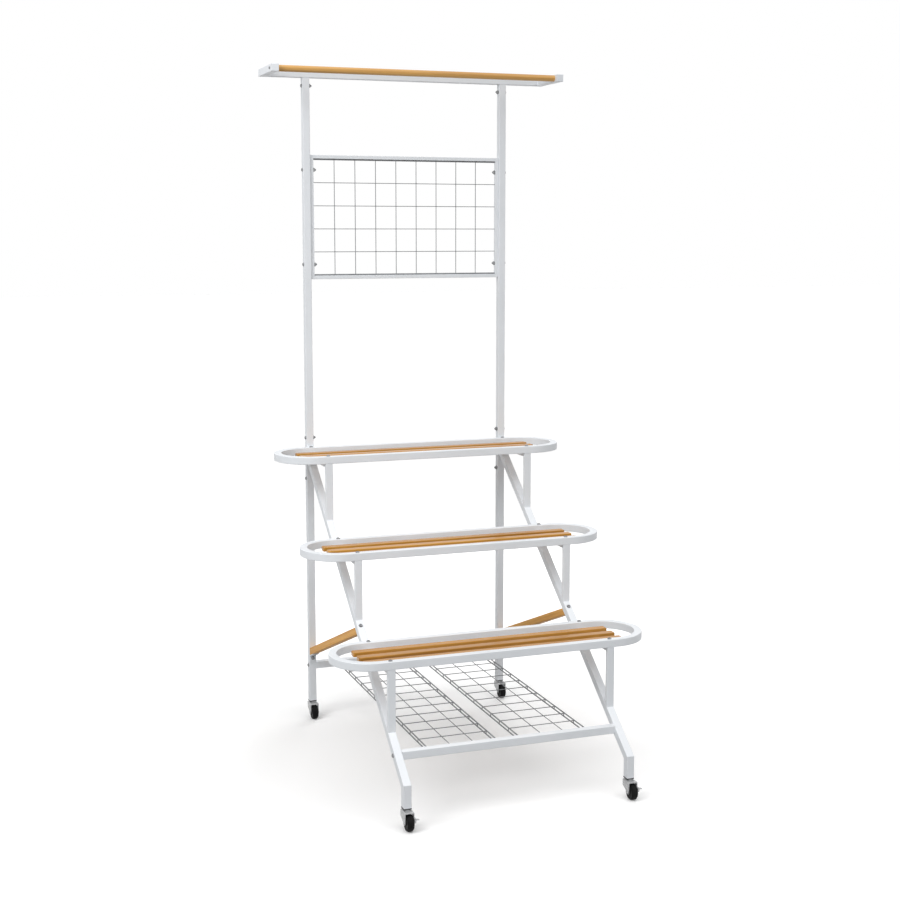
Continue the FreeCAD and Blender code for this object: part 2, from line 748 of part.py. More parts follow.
def brace(side):
    name = f"brace_{side}"
    half = "brace_height / 2"
    rear = "(-tube / 2)"
    outline = [(rear, brace_z(rear, half)), (brace_end_y(half), stringer_z(brace_end_y(half), "tube")),
               (brace_end_y(f"-{half}"), stringer_z(brace_end_y(f"-{half}"), "tube")),
               (rear, brace_z(rear, f"-{half}"))]
    bar = plate(f"{name}_bar", outline, "brace_width")
    smooth = rounded(f"{name}_round", bar, "brace_round", flat_to("X"))
    bore = rod(f"{name}_insert_hole", "insert_diameter + thread_clearance",
               f"brace_insert_depth + thread_clearance + {SPARE}", ("0", "0", "0"))
    tilt(bore, f"180 deg + {SLOPE_ANGLE}", f"{BRACE_END_Y} - {SPARE} * {SLOPE_SINE}",
         f"{BRACE_END_Z} + {SPARE} * {SLOPE_COSINE}")
    pilot_depth = f"strap_thickness + brace_screw_bite + {SPARE}"
    pilot = rod(f"{name}_pilot", PILOT_HOLE, pilot_depth, ("0", "0", "0"))
    tilt(pilot, f"360 deg - {BRACE_ANGLE}", STRAP_SCREW_Y, STRAP_SCREW_Z)
    node(name, cut(name, smooth, [bore, pilot]), x=side_x(side))


def brace_strap(side):
    """Bent steel strap that holds the brace's rear end to the upright."""
    name = f"brace_strap_{side}"
    back = "(-tube / 2)"
    front = "(-tube / 2 - strap_thickness)"
    tip = "(-tube / 2 - strap_length)"
    under = "-brace_height / 2"
    lower = "-brace_height / 2 - strap_thickness"
    foot = f"({STRAP_BOLT_Z} - head_diameter)"
    outline = [(back, brace_z(back, under)), (tip, brace_z(tip, under)), (tip, brace_z(tip, lower)),
               (front, brace_z(front, lower)), (front, foot), (back, foot)]
    strap = plate(f"{name}_strap", outline, "brace_width")
    bolt_hole = hole(f"{name}_bolt_hole", ("0", back, STRAP_BOLT_Z), "Y", BOLT_HOLE, "4 * strap_thickness")
    screw_hole = rod(f"{name}_screw_hole", SCREW_HOLE, f"strap_thickness + 2 * {SPARE}", ("0", "0", "0"))
    tilt(screw_hole, f"360 deg - {BRACE_ANGLE}", f"{STRAP_SCREW_Y} - {SPARE} * {BRACE_SINE}",
         f"{STRAP_SCREW_Z} - {SPARE} * {BRACE_COSINE}")
    node(name, cut(name, strap, [bolt_hole, screw_hole]), x=side_x(side))


# Crossbars and wire shelf

WIRE_PLACES = [f"({index} - 0.5) * wire_pitch" for index in range(1, SHELF_WIRES + 1)]
WIRE_SIZES = ["shelf_wire", *["inner_wire"] * (SHELF_WIRES - 2), "shelf_wire"]
WIRE_Z = "(crossbar_top - wire_drop)"


def crossbar(name, y, facing):
    """Square tube between the side frames, drilled for the wires on the side that faces the other bar."""
    half = f"({CLEAR_WIDTH} / 2)"
    tube = square_tube(name, "X", f"-{half}", half, ("0", y, CROSSBAR_Z))
    holes = [hole(f"{name}_hole", (f"{sign} * {place}", f"{y} + {facing} * tube / 2", WIRE_Z), "Y",
                  f"{size} + thread_clearance", "2 * wire_seat")
             for sign in SIDES.values() for place, size in zip(WIRE_PLACES, WIRE_SIZES)]
    node(name, cut(name, tube, holes))


def wire_shelf(side):
    name = f"wire_shelf_{side}"
    sign = SIDES[side]
    rear = "(-tube / 2)"
    front = f"({FRONT_BAR_Y} + tube / 2)"
    length = f"({rear} - {front})"
    middle = f"({rear} + {front}) / 2"
    wires = [hole(f"{name}_wire", (f"{sign} * {place}", middle, WIRE_Z), "Y", size,
                  f"{length} + 2 * wire_seat - 2 * slip")
             for place, size in zip(WIRE_PLACES, WIRE_SIZES)]
    edges = (WIRE_PLACES[0], WIRE_PLACES[-1])
    edge_z = f"({WIRE_Z} - edge_drop)"
    wires += [hole(f"{name}_edge", (f"{sign} * {place}", middle, edge_z), "Y", "shelf_wire",
                   f"{length} - 2 * slip") for place in edges]
    width = f"({WIRE_PLACES[-1]} - {WIRE_PLACES[0]})"
    for index in range(CROSS_WIRES):
        y = f"({front} + cross_start + {index} * cross_pitch)"
        level = f"({WIRE_Z} - (inner_wire + cross_wire) * 0.45)"
        centre = (f"{sign} * {SHELF_WIRES} / 2 * wire_pitch", y, level)
        wires.append(hole(f"{name}_cross", centre, "X", "cross_wire", width))
        wires += [rod(f"{name}_link", "cross_wire", "edge_drop", (f"{sign} * {place}", y, edge_z))
                  for place in edges]
    node(name, fuse(name, wires))


def crossbar_plugs():
    name = "crossbar_plugs"
    plugs = []
    for y in ("0", FRONT_BAR_Y):
        for sign in SIDES.values():
            centre = (f"{sign} * ({CLEAR_WIDTH} - plug_length) / 2", y, CROSSBAR_Z)
            body = block(f"{name}_body", ("plug_length", SLEEVE_WIDTH, SLEEVE_WIDTH), centre)
            bore = hole(f"{name}_bore", centre, "X", THREAD_HOLE, f"plug_length + 2 * {SPARE}")
            plugs.append(cut(f"{name}_plug", body, [bore]))
    node(name, group(name, plugs))


# Casters

CASTER_PLACES = {f"{end}_{side}": (side_x(side), y) for end, y in (("front", "(-foot_reach)"), ("rear", "0"))
                 for side in SIDES}


def at_casters(name, template):
    """One copy of a piece at every caster, as a group."""
    copies = [move(group(f"{name}_copy", [template]), x, y) for x, y in CASTER_PLACES.values()]
    node(name, group(name, copies))


def caster_sockets():
    name = "caster_sockets"
    body = box(f"{name}_body", (SLEEVE_WIDTH, SLEEVE_WIDTH, "socket_depth"),
               (f"-{SLEEVE_WIDTH} / 2", f"-{SLEEVE_WIDTH} / 2", "foot_clearance"))
    flange = box(f"{name}_flange", ("tube", "tube", "socket_flange"),
                 ("-tube / 2", "-tube / 2", "foot_clearance - socket_flange"))
    bore = rod(f"{name}_bore", "stem_diameter + thread_clearance",
               f"stem_length + socket_flange + 2 * {SPARE}",
               ("0", "0", f"foot_clearance - socket_flange - {SPARE}"))
    at_casters(name, cut(f"{name}_socket", fuse(f"{name}_plug", [body, flange]), [bore]))


def caster_stems():
    name = "caster_stems"
    seat = "(foot_clearance - socket_flange)"
    collar = f"({CROWN_TOP} + run_gap)"
    rivet = f"({CROWN_TOP} - crown_thickness - run_gap)"
    pieces = [
        rod(f"{name}_stem", "stem_diameter", "stem_length + socket_flange", ("0", "0", seat)),
        rod(f"{name}_collar", "stem_collar", "collar_height", ("0", "0", collar)),
        rod(f"{name}_pivot", "pivot_diameter", f"{collar} - {rivet} + rivet_height",
            ("0", "0", f"{rivet} - rivet_height")),
        rod(f"{name}_rivet", "rivet_diameter", "rivet_height", ("0", "0", f"{rivet} - rivet_height")),
    ]
    at_casters(name, fuse(f"{name}_whole", pieces))


def fork(place):
    """Bent steel fork: a crown with rounded shoulders and two legs, with a seat for the brake in front."""
    name = f"fork_{place}"
    width = "(fork_gap + 2 * fork_plate)"
    crown_bottom = f"({CROWN_TOP} - crown_thickness)"
    pieces = [box(f"{name}_crown", (width, "fork_back + fork_front", "crown_thickness"),
                  (f"-{width} / 2", "-fork_front", crown_bottom))]
    leg = [("fork_back", CROWN_TOP), ("fork_back", f"{CROWN_TOP} - fork_shoulder"),
           ("boss_radius - caster_trail", AXLE_Z), ("-fork_front", AXLE_Z), ("-fork_front", CROWN_TOP)]
    for sign in SIDES.values():
        inner = f"({sign} * (fork_gap + fork_plate) / 2 - fork_plate / 2)"
        pieces.append(plate(f"{name}_leg", leg, "fork_plate", inner))
        boss_start = (inner, "-caster_trail", AXLE_Z)
        pieces.append(rod(f"{name}_boss", "2 * boss_radius", "fork_plate", boss_start, "X"))

    def shoulder(edge):
        return runs_along("Y")(edge) and edge.BoundBox.ZMin > number(CROWN_TOP) - 1e-6

    body = rounded(f"{name}_round", fuse(f"{name}_body", pieces), "crown_round", shoulder)
    tools = [rod(f"{name}_pivot_hole", "pivot_diameter + 2 * pin_clearance",
                 f"crown_thickness + 2 * {SPARE}", ("0", "0", f"{crown_bottom} - {SPARE}")),
             hole(f"{name}_axle_hole", ("0", "-caster_trail", AXLE_Z), "X",
                  "axle_diameter + thread_clearance", "2 * fork_gap")]
    if place.startswith("front"):
        seat = rod(f"{name}_seat", "brake_barrel", "brake_seat", (BRAKE_X, "-fork_front", BRAKE_Z), "Y")
        body = fuse(f"{name}_seated", [body, seat])
        tools.append(rod(f"{name}_pin_hole", "brake_pin + thread_clearance", f"brake_seat + 2 * {SPARE}",
                         (BRAKE_X, f"-fork_front - {SPARE}", BRAKE_Z), "Y"))
    x, y = CASTER_PLACES[place]
    node(name, cut(name, body, tools), x, y)


def axle(place):
    name = f"axle_{place}"
    width = "(fork_gap + 2 * fork_plate)"
    centre = ("0", "-caster_trail", AXLE_Z)
    pieces = [hole(f"{name}_shaft", centre, "X", "axle_diameter", width)]
    for start in (f"-{width} / 2 - axle_head_height", f"{width} / 2"):
        pieces.append(rod(f"{name}_head", "axle_head", "axle_head_height", (start, *centre[1:]), "X"))
    x, y = CASTER_PLACES[place]
    node(name, fuse(name, pieces), x, y)


def wheel(place):
    """A body turned about its axle from half a section."""
    name = f"wheel_{place}"
    hub = "((fork_gap - 2 * run_gap) / 2)"
    half = "wheel_width / 2"
    bore = "(axle_diameter / 2 + pin_clearance)"
    hub_rim = "hub_diameter / 2"
    tread = "wheel_diameter / 2"
    shoulder = f"{tread} - wheel_round"
    section = [(f"-{hub}", bore), (hub, bore), (hub, hub_rim), (half, hub_rim), (half, shoulder),
               (f"{half} - wheel_round", tread), (f"wheel_round - {half}", tread), (f"-{half}", shoulder),
               (f"-{half}", hub_rim), (f"-{hub}", hub_rim)]
    piece = doc.addObject("Part::Revolution", name)
    piece.Source = profile(f"{name}_section", section, FRONT_PLANE)
    piece.Axis = AXES["X"]
    piece.Angle = 360
    piece.Solid = True
    x, y = CASTER_PLACES[place]
    node(name, piece, x, f"{y} - caster_trail", AXLE_Z)


def brake_lever(side):
    """Side lever: when its tab is pressed down, its pad swings in towards the wheel's side."""
    name = f"brake_lever_{side}"
    turn = f"({BRAKE_PRESS} deg)"
    pad_x = "(pad_gap - fork_play - fork_plate)"

    def released(x, z):
        """A point of the fully pressed lever, turned back to where it is when released."""
        return (f"{x} * cos({turn}) - ({z}) * sin({turn})", f"{x} * sin({turn}) + ({z}) * cos({turn})")

    barrel = rod(f"{name}_barrel", "brake_barrel", "brake_width", ("0", "-brake_width", "0"), "Y")
    pad_end = released(pad_x, "-pad_end")
    finger_outline = [("-brake_barrel * 0.4", "0"), released(pad_x, "-pad_start"), pad_end,
                      ("brake_barrel / 4", pad_end[1]), ("brake_barrel * 0.4", "0")]
    finger = front_plate(f"{name}_finger", finger_outline, "brake_width")
    half = "tab_thickness / 2"
    tab_outline = [("0", half), ("0", f"-{half}"), ("tab_reach", f"-{half} - tab_drop"),
                   ("tab_reach", f"{half} - tab_drop")]
    tab = front_plate(f"{name}_tab", tab_outline, "brake_width")
    bore = rod(f"{name}_bore", "brake_pin + 2 * pin_clearance", f"brake_width + 2 * {SPARE}",
               ("0", f"-brake_width - {SPARE}", "0"), "Y")
    piece = cut(name, fuse(f"{name}_whole", [barrel, finger, tab]), [bore])
    x, y = CASTER_PLACES[f"front_{side}"]
    node(name, piece, f"{x} + {BRAKE_X}", f"{y} + {BRAKE_Y}", BRAKE_Z)


def brake_pin(side):
    """Headed pin, fixed in the fork's seat, that the lever turns on."""
    name = f"brake_pin_{side}"
    front = "(-brake_width - brake_play)"
    shaft = rod(f"{name}_shaft", "brake_pin", f"brake_play + brake_seat - {front}", ("0", front, "0"), "Y")
    head = rod(f"{name}_head", "pin_head", "pin_head_height", ("0", f"{front} - pin_head_height", "0"), "Y")
    x, y = CASTER_PLACES[f"front_{side}"]
    node(name, fuse(name, [shaft, head]), f"{x} + {BRAKE_X}", f"{y} + {BRAKE_Y}", BRAKE_Z)


# Fasteners, each drawn once with its head on z = 0 and its shank down -Z

TO_RIGHT = Rotation(AXES["Y"], -90)
TO_LEFT = Rotation(AXES["Y"], 90)
TO_BACK = Rotation(AXES["X"], 90)
TO_FRONT = Rotation(AXES["X"], -90)
UPWARD = Rotation(AXES["X"], 180)
DOWNWARD = Rotation()
# Bolts go in from the outside of each side.
INWARD = {"left": TO_RIGHT, "right": TO_LEFT}


def button_bolt(name, length):
    shank = rod(f"{name}_shank", "bolt_diameter", length, ("0", "0", f"-({length})"))
    head = cone(f"{name}_head", "head_diameter", "head_diameter * 0.7", "head_height", "0")
    socket = hexagon(f"{name}_socket", "socket_size", "head_height", "head_height * 0.4")
    return cut(name, fuse(f"{name}_whole", [shank, head]), [socket])


def cap_nut(name):
    """A domed nut, its seat on z = 0 and its dome down -Z."""
    base = hexagon(f"{name}_hex", "nut_width", "nut_hex", "-nut_hex")
    dome = cone(f"{name}_dome", "nut_width * 0.35", "nut_width * 0.85", "nut_height - nut_hex",
                "-nut_height")
    bore = rod(f"{name}_bore", THREAD_HOLE, f"nut_bore + {SPARE}", ("0", "0", "-nut_bore"))
    return cut(name, fuse(f"{name}_whole", [base, dome]), [bore])


def wood_screw(name, length):
    shank = rod(f"{name}_shank", "screw_diameter", length, ("0", "0", f"-({length})"))
    head = cone(f"{name}_head", "screw_head", "screw_head * 0.75", "screw_head_height", "0")
    return fuse(name, [shank, head])


def insert(name, depth):
    outer = rod(f"{name}_outer", "insert_diameter", depth, ("0", "0", f"-({depth})"))
    bore = rod(f"{name}_bore", THREAD_HOLE, f"{depth} + 2 * {SPARE}", ("0", "0", f"-({depth}) - {SPARE}"))
    return cut(name, outer, [bore])


def sloped(angle):
    """A turn about X by a formula."""
    return Rotation(AXES["X"], number(angle))


def copies(label, template, places):
    """A node of one fastener at every place: x, y, z and turn."""
    made = []
    for x, y, z, turn in places:
        piece = move(group(f"{label}_copy", [template]), x, y, z, turn)
        made.append(piece)
    node(label, group(label, made))


def outer_face(side):
    return f"({side_x(side)} + {SIDES[side]} * tube / 2)"


def inner_face(side):
    return f"({side_x(side)} - {SIDES[side]} * tube / 2)"


def frame_fasteners():
    short = []
    long = []
    nuts = []
    for side, sign in SIDES.items():
        inward = INWARD[side]
        for z in (STUB_BOLT_Z, UPPER_SLEEVE_BOLT_Z, LOWER_SLEEVE_BOLT_Z):
            short.append((outer_face(side), "0", z, inward))
            nuts.append((inner_face(side), "0", z, inward))
        short.append((side_x(side), "tube / 2", STRINGER_JOINT, TO_FRONT))
        short.append((side_x(side), "-tube / 2 - strap_thickness", STRAP_BOLT_Z, TO_BACK))
        nuts.append((side_x(side), "tube / 2", STRAP_BOLT_Z, TO_BACK))
        short.append((side_x(side), BRACE_BOLT_Y, BRACE_BOLT_Z, sloped(SLOPE_ANGLE)))
        for z in PANEL_BOLT_Z:
            long.append((outer_face(side), "0", z, inward))
            nuts.append((f"{inner_face(side)} - {sign} * panel_tube", "0", z, inward))
        for y in ("0", FRONT_BAR_Y):
            long.append((outer_face(side), y, CROSSBAR_Z, inward))
    copies("frame_bolts_short", button_bolt("short_bolt_pattern", "short_bolt"), short)
    copies("frame_bolts_long", button_bolt("long_bolt_pattern", "long_bolt"), long)
    copies("frame_nuts", cap_nut("nut_pattern"), nuts)


def shelf_fasteners():
    bolts = []
    inserts = []
    screws = []
    for shelf in range(len(SHELF_NAMES)):
        low = shelf_bottom(shelf)
        for side in SIDES:
            for y in (f"{ring_front(shelf)} + tube / 2", f"{ring_back(shelf)} - tube / 2"):
                bolts.append((side_x(side), y, f"{low} + tube", DOWNWARD))
                inserts.append((side_x(side), y, low, DOWNWARD))
            for offset in (-1, 0, 1):
                y = f"{ring_middle(shelf)} + {offset} * slat_pitch"
                screws.append((side_x(side), y, f"{low} - bracket_tube", UPWARD))
    copies("ring_bolts", button_bolt("ring_bolt_pattern", "tube + ring_bolt_grip"), bolts)
    copies("ring_inserts", insert("ring_insert_pattern", "insert_depth"), inserts)
    copies("slat_screws", wood_screw("slat_screw_pattern", "bracket_tube + screw_bite"), screws)


def brace_fasteners():
    screws = []
    inserts = []
    for side in SIDES:
        screws.append((side_x(side), STRAP_SCREW_Y, STRAP_SCREW_Z, sloped(f"180 deg - {BRACE_ANGLE}")))
        inserts.append((side_x(side), BRACE_END_Y, BRACE_END_Z, sloped(SLOPE_ANGLE)))
    copies("brace_screws", wood_screw("brace_screw_pattern", "strap_thickness + brace_screw_bite"), screws)
    copies("brace_inserts", insert("brace_insert_pattern", "brace_insert_depth"), inserts)


def bar_screws():
    places = [(f"{sign} * top_length / 2", BAR_Y, BAR_Z, INWARD[side]) for side, sign in SIDES.items()]
    copies("bar_screws", wood_screw("bar_screw_pattern", "tube + bar_screw_bite"), places)


# The whole stand


def build():
    for side in SIDES:
        lower_upright(side)
        upper_upright(side)
        joint_sleeve(side)
        side_frame(side)
        brace(side)
        brace_strap(side)
        wire_shelf(side)
        brake_lever(side)
        brake_pin(side)
    top_frame()
    hanging_bar()
    grid_frame()
    grid_mesh()
    for shelf in range(len(SHELF_NAMES)):
        shelf_ring(shelf)
        for index in range(len(SLAT_NAMES)):
            slat(shelf, index)
    crossbar("crossbar_rear", "0", -1)
    crossbar("crossbar_front", FRONT_BAR_Y, 1)
    crossbar_plugs()
    caster_sockets()
    caster_stems()
    for place in CASTER_PLACES:
        fork(place)
        axle(place)
        wheel(place)
    frame_fasteners()
    shelf_fasteners()
    brace_fasteners()
    bar_screws()
    doc.recompute()


def check():
    """Stop before anything is written if a step failed."""
    for piece in doc.Objects:
        if {"Invalid", "Error"} & set(piece.State):
            raise RuntimeError(f"{piece.Name}: {piece.State}")
    for piece in nodes:
        if piece.Shape.isNull() or not piece.Shape.isValid() or not piece.Shape.Solids:
            raise RuntimeError(f"{piece.Label}: shape is empty or not valid")


def write():
    os.makedirs("parts", exist_ok=True)
    for piece in nodes:
        piece.Shape.exportStep(f"parts/{piece.Label}.step")


build()
check()
write()
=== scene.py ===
import math
import bpy
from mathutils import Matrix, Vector


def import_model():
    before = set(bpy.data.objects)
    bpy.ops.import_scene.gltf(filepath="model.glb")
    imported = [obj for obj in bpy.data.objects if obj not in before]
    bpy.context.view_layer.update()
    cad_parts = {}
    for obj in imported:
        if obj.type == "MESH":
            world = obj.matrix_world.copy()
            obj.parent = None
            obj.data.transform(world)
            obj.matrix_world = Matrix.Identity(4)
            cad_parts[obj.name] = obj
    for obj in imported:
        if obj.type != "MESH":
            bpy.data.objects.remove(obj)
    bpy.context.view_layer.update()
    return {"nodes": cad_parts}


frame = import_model()
nodes = frame["nodes"]

# Camera fitted to the photograph: place in metres, turn in degrees, lens and sensor in millimetres.
CAMERA_PLACE = (-1.3423, -3.6384, 1.3959)
CAMERA_AZIMUTH = 19.864
CAMERA_PITCH = 7.379
CAMERA_LENS = 59.79
CAMERA_SENSOR = 36
CAMERA_SHIFT_X = -0.0001
CAMERA_SHIFT_Y = -0.0271
CAMERA_REACH = 200

# Slope of the wooden braces, in degrees, which their grain follows.
BRACE_SLOPE = 20.95

# Light, middle and dark colour of the wood: golden slats, honey braces and a paler bar. The slats' colours
# are partly their wood's own and partly painted shade, darker than the wood.
GOLDEN = ((206, 153, 72), (188, 131, 52), (150, 97, 32))
HONEY = ((212, 165, 98), (192, 141, 73), (154, 104, 47))
PALE = ((212, 171, 110), (195, 149, 84), (158, 112, 58))

# Tone of each kind of piece, by which its colours are multiplied, and the step from one piece to the next.
# The slats' low tone is partly painted shade.
SLAT_TONE = 0.90
BAR_TONE = 1.32
BRACE_TONE = 1.45
TONE_STEP = 0.04
SLAT_TONES = 4

# Each piece of wood takes its grain from its own place in the pattern: the move for one seed, and the seeds.
SEED_SHIFT = (0.37, 0.113, 0.071)
SLAT_SEED = 1
BAR_SEED = 11
BRACE_SEED = 13

# Finish of the wood, as its own gloss and its clear coat: shining slats, a satin bar, plain braces.
VARNISHED = (0.10, 0.55)
SATIN = (0.25, 0.10)
PLAIN = (0.03, 0.00)
COAT_ROUGHNESS = 0.18
COAT_IOR = 1.35

# Soft key light: where it comes from, its spread in degrees and its strength. Then the room's own level.
KEY_SOURCE = (0.08, -0.52, 0.85)
KEY_SPREAD = 80
KEY_STRENGTH = 1.62
ROOM_LEVEL = 0.31

# Square soft panels at the upper left and behind: their side in metres, then place, aim and watts of each.
PANEL_SIZE = 1.6
FILL_PLACE = (-2.3, -0.9, 2.4)
FILL_AIM = (0.0, 0.2, 1.1)
FILL_POWER = 43
BACK_PLACE = (1.5, 2.4, 1.5)
BACK_AIM = (0.0, 0.0, 0.9)
BACK_POWER = 26

# The floor sends back less light than it shows. Where it is seen it has a faint glow, which grows with
# the distance, in metres, from a painted shadow under the stand, where the floor is painted darker. That
# painted shadow lies a little to the left.
FLOOR_SIDE = 60
FLOOR_BOUNCE = (0.30, 0.30, 0.30, 1)
GLOW_NEAR = 0.0
GLOW_FAR = 0.30
GLOW_START = 0.35
GLOW_END = 1.2
PAINTED_SHADOW_OFFSET = (0.2, 0, 0)

WHITE = (1, 1, 1, 1)

# Places of the colour sockets on a mix node.
MIX_FACTOR = 0
MIX_FIRST = 6
MIX_SECOND = 7
MIX_RESULT = 2


# Material building


def linear(red, green, blue):
    """A colour written as 0 to 255 values, as the shader takes it."""
    def channel(value):
        value = value / 255
        return value / 12.92 if value <= 0.04045 else ((value + 0.055) / 1.055) ** 2.4
    return (channel(red), channel(green), channel(blue), 1.0)


class Shader:
    """A material and short ways to add and join its nodes."""

    def __init__(self, name):
        self.material = bpy.data.materials.new(name)
        self.material.use_nodes = True
        self.tree = self.material.node_tree
        self.surface = self.tree.nodes["Principled BSDF"]
        self.place = self.add("ShaderNodeTexCoord").outputs["Object"]

    def join(self, value, socket):
        """Link an output to a socket, or set a plain value on it."""
        if hasattr(value, "is_output"):
            self.tree.links.new(value, socket)
        else:
            socket.default_value = value

    def add(self, kind, **values):
        """A new node, with these values on its sockets or, where it has no such socket, its settings."""
        node = self.tree.nodes.new(kind)
        for name, value in values.items():
            words = name.replace("_", " ")
            if words in node.inputs:
                self.join(value, node.inputs[words])
            else:
                setattr(node, name, value)
        return node

    def set(self, **values):
        """Give values or outputs to the sockets of the surface."""
        for name, value in values.items():
            self.join(value, self.surface.inputs[name.replace("_", " ")])

    def mapped(self, scale, turn=(0, 0, 0), shift=(0, 0, 0)):
        """The object's own coordinates, turned, moved and then stretched."""
        turned = self.add("ShaderNodeMapping", Vector=self.place, Rotation=turn, Location=shift)
        stretched = self.add("ShaderNodeMapping", Vector=turned.outputs["Vector"], Scale=scale)
        return stretched.outputs["Vector"]

    def noise(self, vector, scale, detail=2.0, roughness=0.5):
        """A soft random factor."""
        node = self.add("ShaderNodeTexNoise", Vector=vector, Scale=scale, Detail=detail,
                        Roughness=roughness)
        return node.outputs["Fac"]

    def spread(self, factor, low, high, start=0.3, end=0.7):
        """A factor brought from a start and end to a low and high value."""
        node = self.add("ShaderNodeMapRange", Value=factor, From_Min=start, From_Max=end)
        node.inputs["To Min"].default_value = low
        node.inputs["To Max"].default_value = high
        return node.outputs["Result"]

    def ramp(self, factor, stops):
        """A colour read from a row of stops, each a position and its colour."""
        node = self.add("ShaderNodeValToRGB", Fac=factor)
        elements = node.color_ramp.elements
        elements[0].position, elements[0].color = stops[0]
        elements[1].position, elements[1].color = stops[-1]
        for position, colour in stops[1:-1]:
            elements.new(position).color = colour
        return node.outputs["Color"]

    def blend(self, factor, first, second, kind="MIX"):
        """Two colours mixed, or joined in another way."""
        node = self.add("ShaderNodeMix", data_type="RGBA", blend_type=kind)
        for socket, value in ((MIX_FACTOR, factor), (MIX_FIRST, first), (MIX_SECOND, second)):
            self.join(value, node.inputs[socket])
        return node.outputs[MIX_RESULT]

    def times(self, first, second):
        """The product of two factors."""
        node = self.add("ShaderNodeMath", operation="MULTIPLY")
        self.join(first, node.inputs[0])
        self.join(second, node.inputs[1])
        return node.outputs["Value"]

    def bump(self, factor, strength, distance):
        """A fine relief on the surface, with its height in metres."""
        node = self.add("ShaderNodeBump", Height=factor, Strength=strength, Distance=distance)
        return node.outputs["Normal"]


# Materials


def white_paint():
    """Satin white powder coat: a faintly uneven cool tone and orange peel."""
    shader = Shader("white_paint")
    tone = shader.noise(shader.place, scale=7.0, detail=3.0)
    peel = shader.noise(shader.place, scale=620.0, detail=2.0)
    colour = shader.ramp(tone, [(0.3, linear(229, 233, 237)), (0.7, linear(236, 239, 243))])
    shader.set(Base_Color=colour, Roughness=shader.spread(tone, low=0.36, high=0.46),
               Normal=shader.bump(peel, strength=0.12, distance=0.0006))
    return shader.material


def wood(name, seed, colours, tone, finish, turn=(0, 0, 0)):
    """Wood in a tone of its three colours, with its grain along X or along a turned axis."""
    shader = Shader(name)
    shift = [move * seed for move in SEED_SHIFT]
    along = shader.mapped((0.8, 24, 34), turn, shift)
    bands = shader.add("ShaderNodeTexWave", wave_type="RINGS", rings_direction="X", Vector=along,
                       Scale=0.9, Distortion=5.5, Detail=3.0, Detail_Scale=1.4).outputs["Fac"]
    figure = shader.noise(shader.mapped((1.6, 60, 60), turn, shift), scale=1.0, detail=5.0, roughness=0.6)
    fibre = shader.noise(shader.mapped((9, 900, 900), turn, shift), scale=1.0, detail=3.0, roughness=0.6)

    light, middle, dark = ([value * tone for value in linear(*colour)[:3]] + [1.0] for colour in colours)
    figured = shader.ramp(figure, [(0.30, dark), (0.48, middle), (0.68, light)])
    banded = shader.ramp(bands, [(0.1, light), (0.9, middle)])
    streaks = shader.ramp(fibre, [(0.32, (0.80, 0.74, 0.68, 1)), (0.55, WHITE)])
    colour = shader.blend(0.55, shader.blend(0.35, figured, banded), streaks, "MULTIPLY")
    gloss, coat = finish
    shader.set(Base_Color=colour, Roughness=shader.spread(figure, low=0.34, high=0.46),
               Normal=shader.bump(fibre, strength=0.18, distance=0.0006), Specular_IOR_Level=gloss,
               Coat_Weight=coat, Coat_Roughness=COAT_ROUGHNESS, Coat_IOR=COAT_IOR)
    return shader.material


def coated_wire():
    """Grey coated wire with a faintly uneven skin."""
    shader = Shader("coated_wire")
    tone = shader.noise(shader.place, scale=60.0, detail=3.0)
    skin = shader.noise(shader.place, scale=900.0)
    colour = shader.ramp(tone, [(0.3, linear(116, 118, 121)), (0.7, linear(138, 140, 143))])
    shader.set(Base_Color=colour, Roughness=shader.spread(tone, low=0.40, high=0.55),
               Normal=shader.bump(skin, strength=0.1, distance=0.0004), Metallic=0.2)
    return shader.material


def bolt_steel():
    """Grey steel fasteners, rubbed brighter in places."""
    shader = Shader("bolt_steel")
    tone = shader.noise(shader.place, scale=260.0, detail=4.0)
    colour = shader.ramp(tone, [(0.35, linear(118, 119, 121)), (0.72, linear(160, 161, 163))])
    shader.set(Base_Color=colour, Roughness=shader.spread(tone, low=0.32, high=0.48),
               Normal=shader.bump(tone, strength=0.1, distance=0.0003), Metallic=0.8)
    return shader.material


def zinc_steel():
    """Bright zinc plate with faint brushing."""
    shader = Shader("zinc_steel")
    brushed = shader.noise(shader.mapped((300, 40, 900)), scale=1.0, detail=3.0)
    tone = shader.noise(shader.place, scale=90.0, detail=3.0)
    colour = shader.ramp(tone, [(0.3, linear(170, 171, 173)), (0.7, linear(198, 199, 200))])
    shader.set(Base_Color=colour, Roughness=shader.spread(brushed, low=0.24, high=0.40),
               Normal=shader.bump(brushed, strength=0.08, distance=0.0003), Metallic=0.5)
    return shader.material


def black_rubber():
    """Black wheel with a little dust on it and a fine moulded grain."""
    shader = Shader("black_rubber")
    dust = shader.noise(shader.place, scale=110.0, detail=4.0)
    grain = shader.noise(shader.place, scale=1800.0, detail=2.0)
    colour = shader.ramp(dust, [(0.4, linear(8, 8, 9)), (0.75, linear(24, 24, 24))])
    shader.set(Base_Color=colour, Roughness=shader.spread(dust, low=0.42, high=0.62),
               Normal=shader.bump(grain, strength=0.15, distance=0.0003), Specular_IOR_Level=0.10)
    return shader.material


def black_plastic():
    """Moulded matte plastic with a fine grain."""
    shader = Shader("black_plastic")
    grain = shader.noise(shader.place, scale=2200.0, detail=3.0)
    tone = shader.noise(shader.place, scale=70.0, detail=2.0)
    colour = shader.ramp(tone, [(0.3, linear(26, 26, 28)), (0.7, linear(42, 42, 44))])
    shader.set(Base_Color=colour, Roughness=shader.spread(grain, low=0.45, high=0.62),
               Normal=shader.bump(grain, strength=0.2, distance=0.0003))
    return shader.material


def dress(material, *starts):
    """Give a material to every CAD node whose name begins with one of these words."""
    for name, piece in nodes.items():
        if name.startswith(starts):
            piece.data.materials.clear()
            piece.data.materials.append(material)


